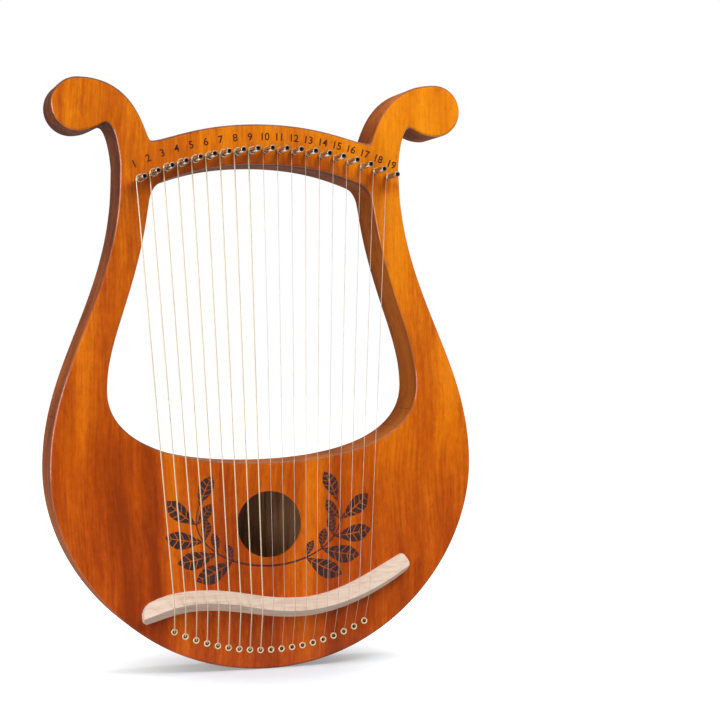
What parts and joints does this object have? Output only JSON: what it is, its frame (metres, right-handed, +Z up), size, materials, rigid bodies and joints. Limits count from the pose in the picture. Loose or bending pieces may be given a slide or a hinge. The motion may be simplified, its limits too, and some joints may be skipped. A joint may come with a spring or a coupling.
{
  "type": "lyre harp",
  "caption": "Wooden lyre harp: hollow bowl with a sound hole, two arms with scrolls, a crossbar with turning tuning pins, an S-shaped bridge and metal strings.",
  "frame": {"origin": "on the floor level of the body's lowest point, below the middle of the whole instrument's width and depth", "axes": "+X from the lowest string to the highest, +Y from the front to the back, +Z up along the strings"},
  "size_m": [0.4, 0.077, 0.5385],
  "materials": {
    "mahogany_front": "clear gloss over orange stain",
    "mahogany_side": "satin, dark red-brown stain",
    "mahogany_core": "satin, dark red-brown stain",
    "spruce": "bare",
    "maple": "satin",
    "nickel": "polished nickel plate",
    "bronze_winding": "wound bronze wire",
    "plain_steel": "drawn wire"
  },
  "bodies": {
    "harp": {"front_plate": "mahogany_front", "back_plate": "mahogany_side", "tail_block": "mahogany_core", "left_rim": "mahogany_core", "right_rim": "mahogany_core", "window_rib": "mahogany_core", "left_arm": "mahogany_core", "right_arm": "mahogany_core", "crossbar": "mahogany_core", "left_brace": "spruce", "right_brace": "spruce", "back_brace": "spruce", "bridge": "maple", "string_01": "bronze_winding", "string_02": "bronze_winding", "string_03": "bronze_winding", "string_04": "bronze_winding", "string_05": "bronze_winding", "string_06": "bronze_winding", "string_07": "bronze_winding", "string_08": "bronze_winding", "string_09": "bronze_winding", "string_10": "plain_steel", "string_11": "plain_steel", "string_12": "plain_steel", "string_13": "plain_steel", "string_14": "plain_steel", "string_15": "plain_steel", "string_16": "plain_steel", "string_17": "plain_steel", "string_18": "plain_steel", "string_19": "plain_steel"},
    "pin_01": {"tuning_pin_01": "nickel"},
    "pin_02": {"tuning_pin_02": "nickel"},
    "pin_03": {"tuning_pin_03": "nickel"},
    "pin_04": {"tuning_pin_04": "nickel"},
    "pin_05": {"tuning_pin_05": "nickel"},
    "pin_06": {"tuning_pin_06": "nickel"},
    "pin_07": {"tuning_pin_07": "nickel"},
    "pin_08": {"tuning_pin_08": "nickel"},
    "pin_09": {"tuning_pin_09": "nickel"},
    "pin_10": {"tuning_pin_10": "nickel"},
    "pin_11": {"tuning_pin_11": "nickel"},
    "pin_12": {"tuning_pin_12": "nickel"},
    "pin_13": {"tuning_pin_13": "nickel"},
    "pin_14": {"tuning_pin_14": "nickel"},
    "pin_15": {"tuning_pin_15": "nickel"},
    "pin_16": {"tuning_pin_16": "nickel"},
    "pin_17": {"tuning_pin_17": "nickel"},
    "pin_18": {"tuning_pin_18": "nickel"},
    "pin_19": {"tuning_pin_19": "nickel"}
  },
  "joints": [
    {"name": "tuning_01", "type": "hinge", "parent": "harp", "child": "pin_01", "pos_m": [-0.11636, -0.0095, 0.44754], "axis": [0, 1, 0], "range_deg": [-1080, 90]},
    {"name": "tuning_02", "type": "hinge", "parent": "harp", "child": "pin_02", "pos_m": [-0.10394, -0.0095, 0.45289], "axis": [0, 1, 0], "range_deg": [-1080, 90]},
    {"name": "tuning_03", "type": "hinge", "parent": "harp", "child": "pin_03", "pos_m": [-0.09128, -0.0095, 0.45767], "axis": [0, 1, 0], "range_deg": [-1080, 90]},
    {"name": "tuning_04", "type": "hinge", "parent": "harp", "child": "pin_04", "pos_m": [-0.07843, -0.0095, 0.46187], "axis": [0, 1, 0], "range_deg": [-1080, 90]},
    {"name": "tuning_05", "type": "hinge", "parent": "harp", "child": "pin_05", "pos_m": [-0.06539, -0.0095, 0.46548], "axis": [0, 1, 0], "range_deg": [-1080, 90]},
    {"name": "tuning_06", "type": "hinge", "parent": "harp", "child": "pin_06", "pos_m": [-0.0522, -0.0095, 0.46848], "axis": [0, 1, 0], "range_deg": [-1080, 90]},
    {"name": "tuning_07", "type": "hinge", "parent": "harp", "child": "pin_07", "pos_m": [-0.03889, -0.0095, 0.47088], "axis": [0, 1, 0], "range_deg": [-1080, 90]},
    {"name": "tuning_08", "type": "hinge", "parent": "harp", "child": "pin_08", "pos_m": [-0.02549, -0.0095, 0.47267], "axis": [0, 1, 0], "range_deg": [-1080, 90]},
    {"name": "tuning_09", "type": "hinge", "parent": "harp", "child": "pin_09", "pos_m": [-0.01201, -0.0095, 0.47384], "axis": [0, 1, 0], "range_deg": [-1080, 90]},
    {"name": "tuning_10", "type": "hinge", "parent": "harp", "child": "pin_10", "pos_m": [0.0015, -0.0095, 0.4744], "axis": [0, 1, 0], "range_deg": [-1080, 90]},
    {"name": "tuning_11", "type": "hinge", "parent": "harp", "child": "pin_11", "pos_m": [0.01503, -0.0095, 0.47434], "axis": [0, 1, 0], "range_deg": [-1080, 90]},
    {"name": "tuning_12", "type": "hinge", "parent": "harp", "child": "pin_12", "pos_m": [0.02853, -0.0095, 0.47366], "axis": [0, 1, 0], "range_deg": [-1080, 90]},
    {"name": "tuning_13", "type": "hinge", "parent": "harp", "child": "pin_13", "pos_m": [0.042, -0.0095, 0.47236], "axis": [0, 1, 0], "range_deg": [-1080, 90]},
    {"name": "tuning_14", "type": "hinge", "parent": "harp", "child": "pin_14", "pos_m": [0.05538, -0.0095, 0.47045], "axis": [0, 1, 0], "range_deg": [-1080, 90]},
    {"name": "tuning_15", "type": "hinge", "parent": "harp", "child": "pin_15", "pos_m": [0.06867, -0.0095, 0.46793], "axis": [0, 1, 0], "range_deg": [-1080, 90]},
    {"name": "tuning_16", "type": "hinge", "parent": "harp", "child": "pin_16", "pos_m": [0.08183, -0.0095, 0.46481], "axis": [0, 1, 0], "range_deg": [-1080, 90]},
    {"name": "tuning_17", "type": "hinge", "parent": "harp", "child": "pin_17", "pos_m": [0.09484, -0.0095, 0.46108], "axis": [0, 1, 0], "range_deg": [-1080, 90]},
    {"name": "tuning_18", "type": "hinge", "parent": "harp", "child": "pin_18", "pos_m": [0.10765, -0.0095, 0.45677], "axis": [0, 1, 0], "range_deg": [-1080, 90]},
    {"name": "tuning_19", "type": "hinge", "parent": "harp", "child": "pin_19", "pos_m": [0.12026, -0.0095, 0.45187], "axis": [0, 1, 0], "range_deg": [-1080, 90]}
  ]
}
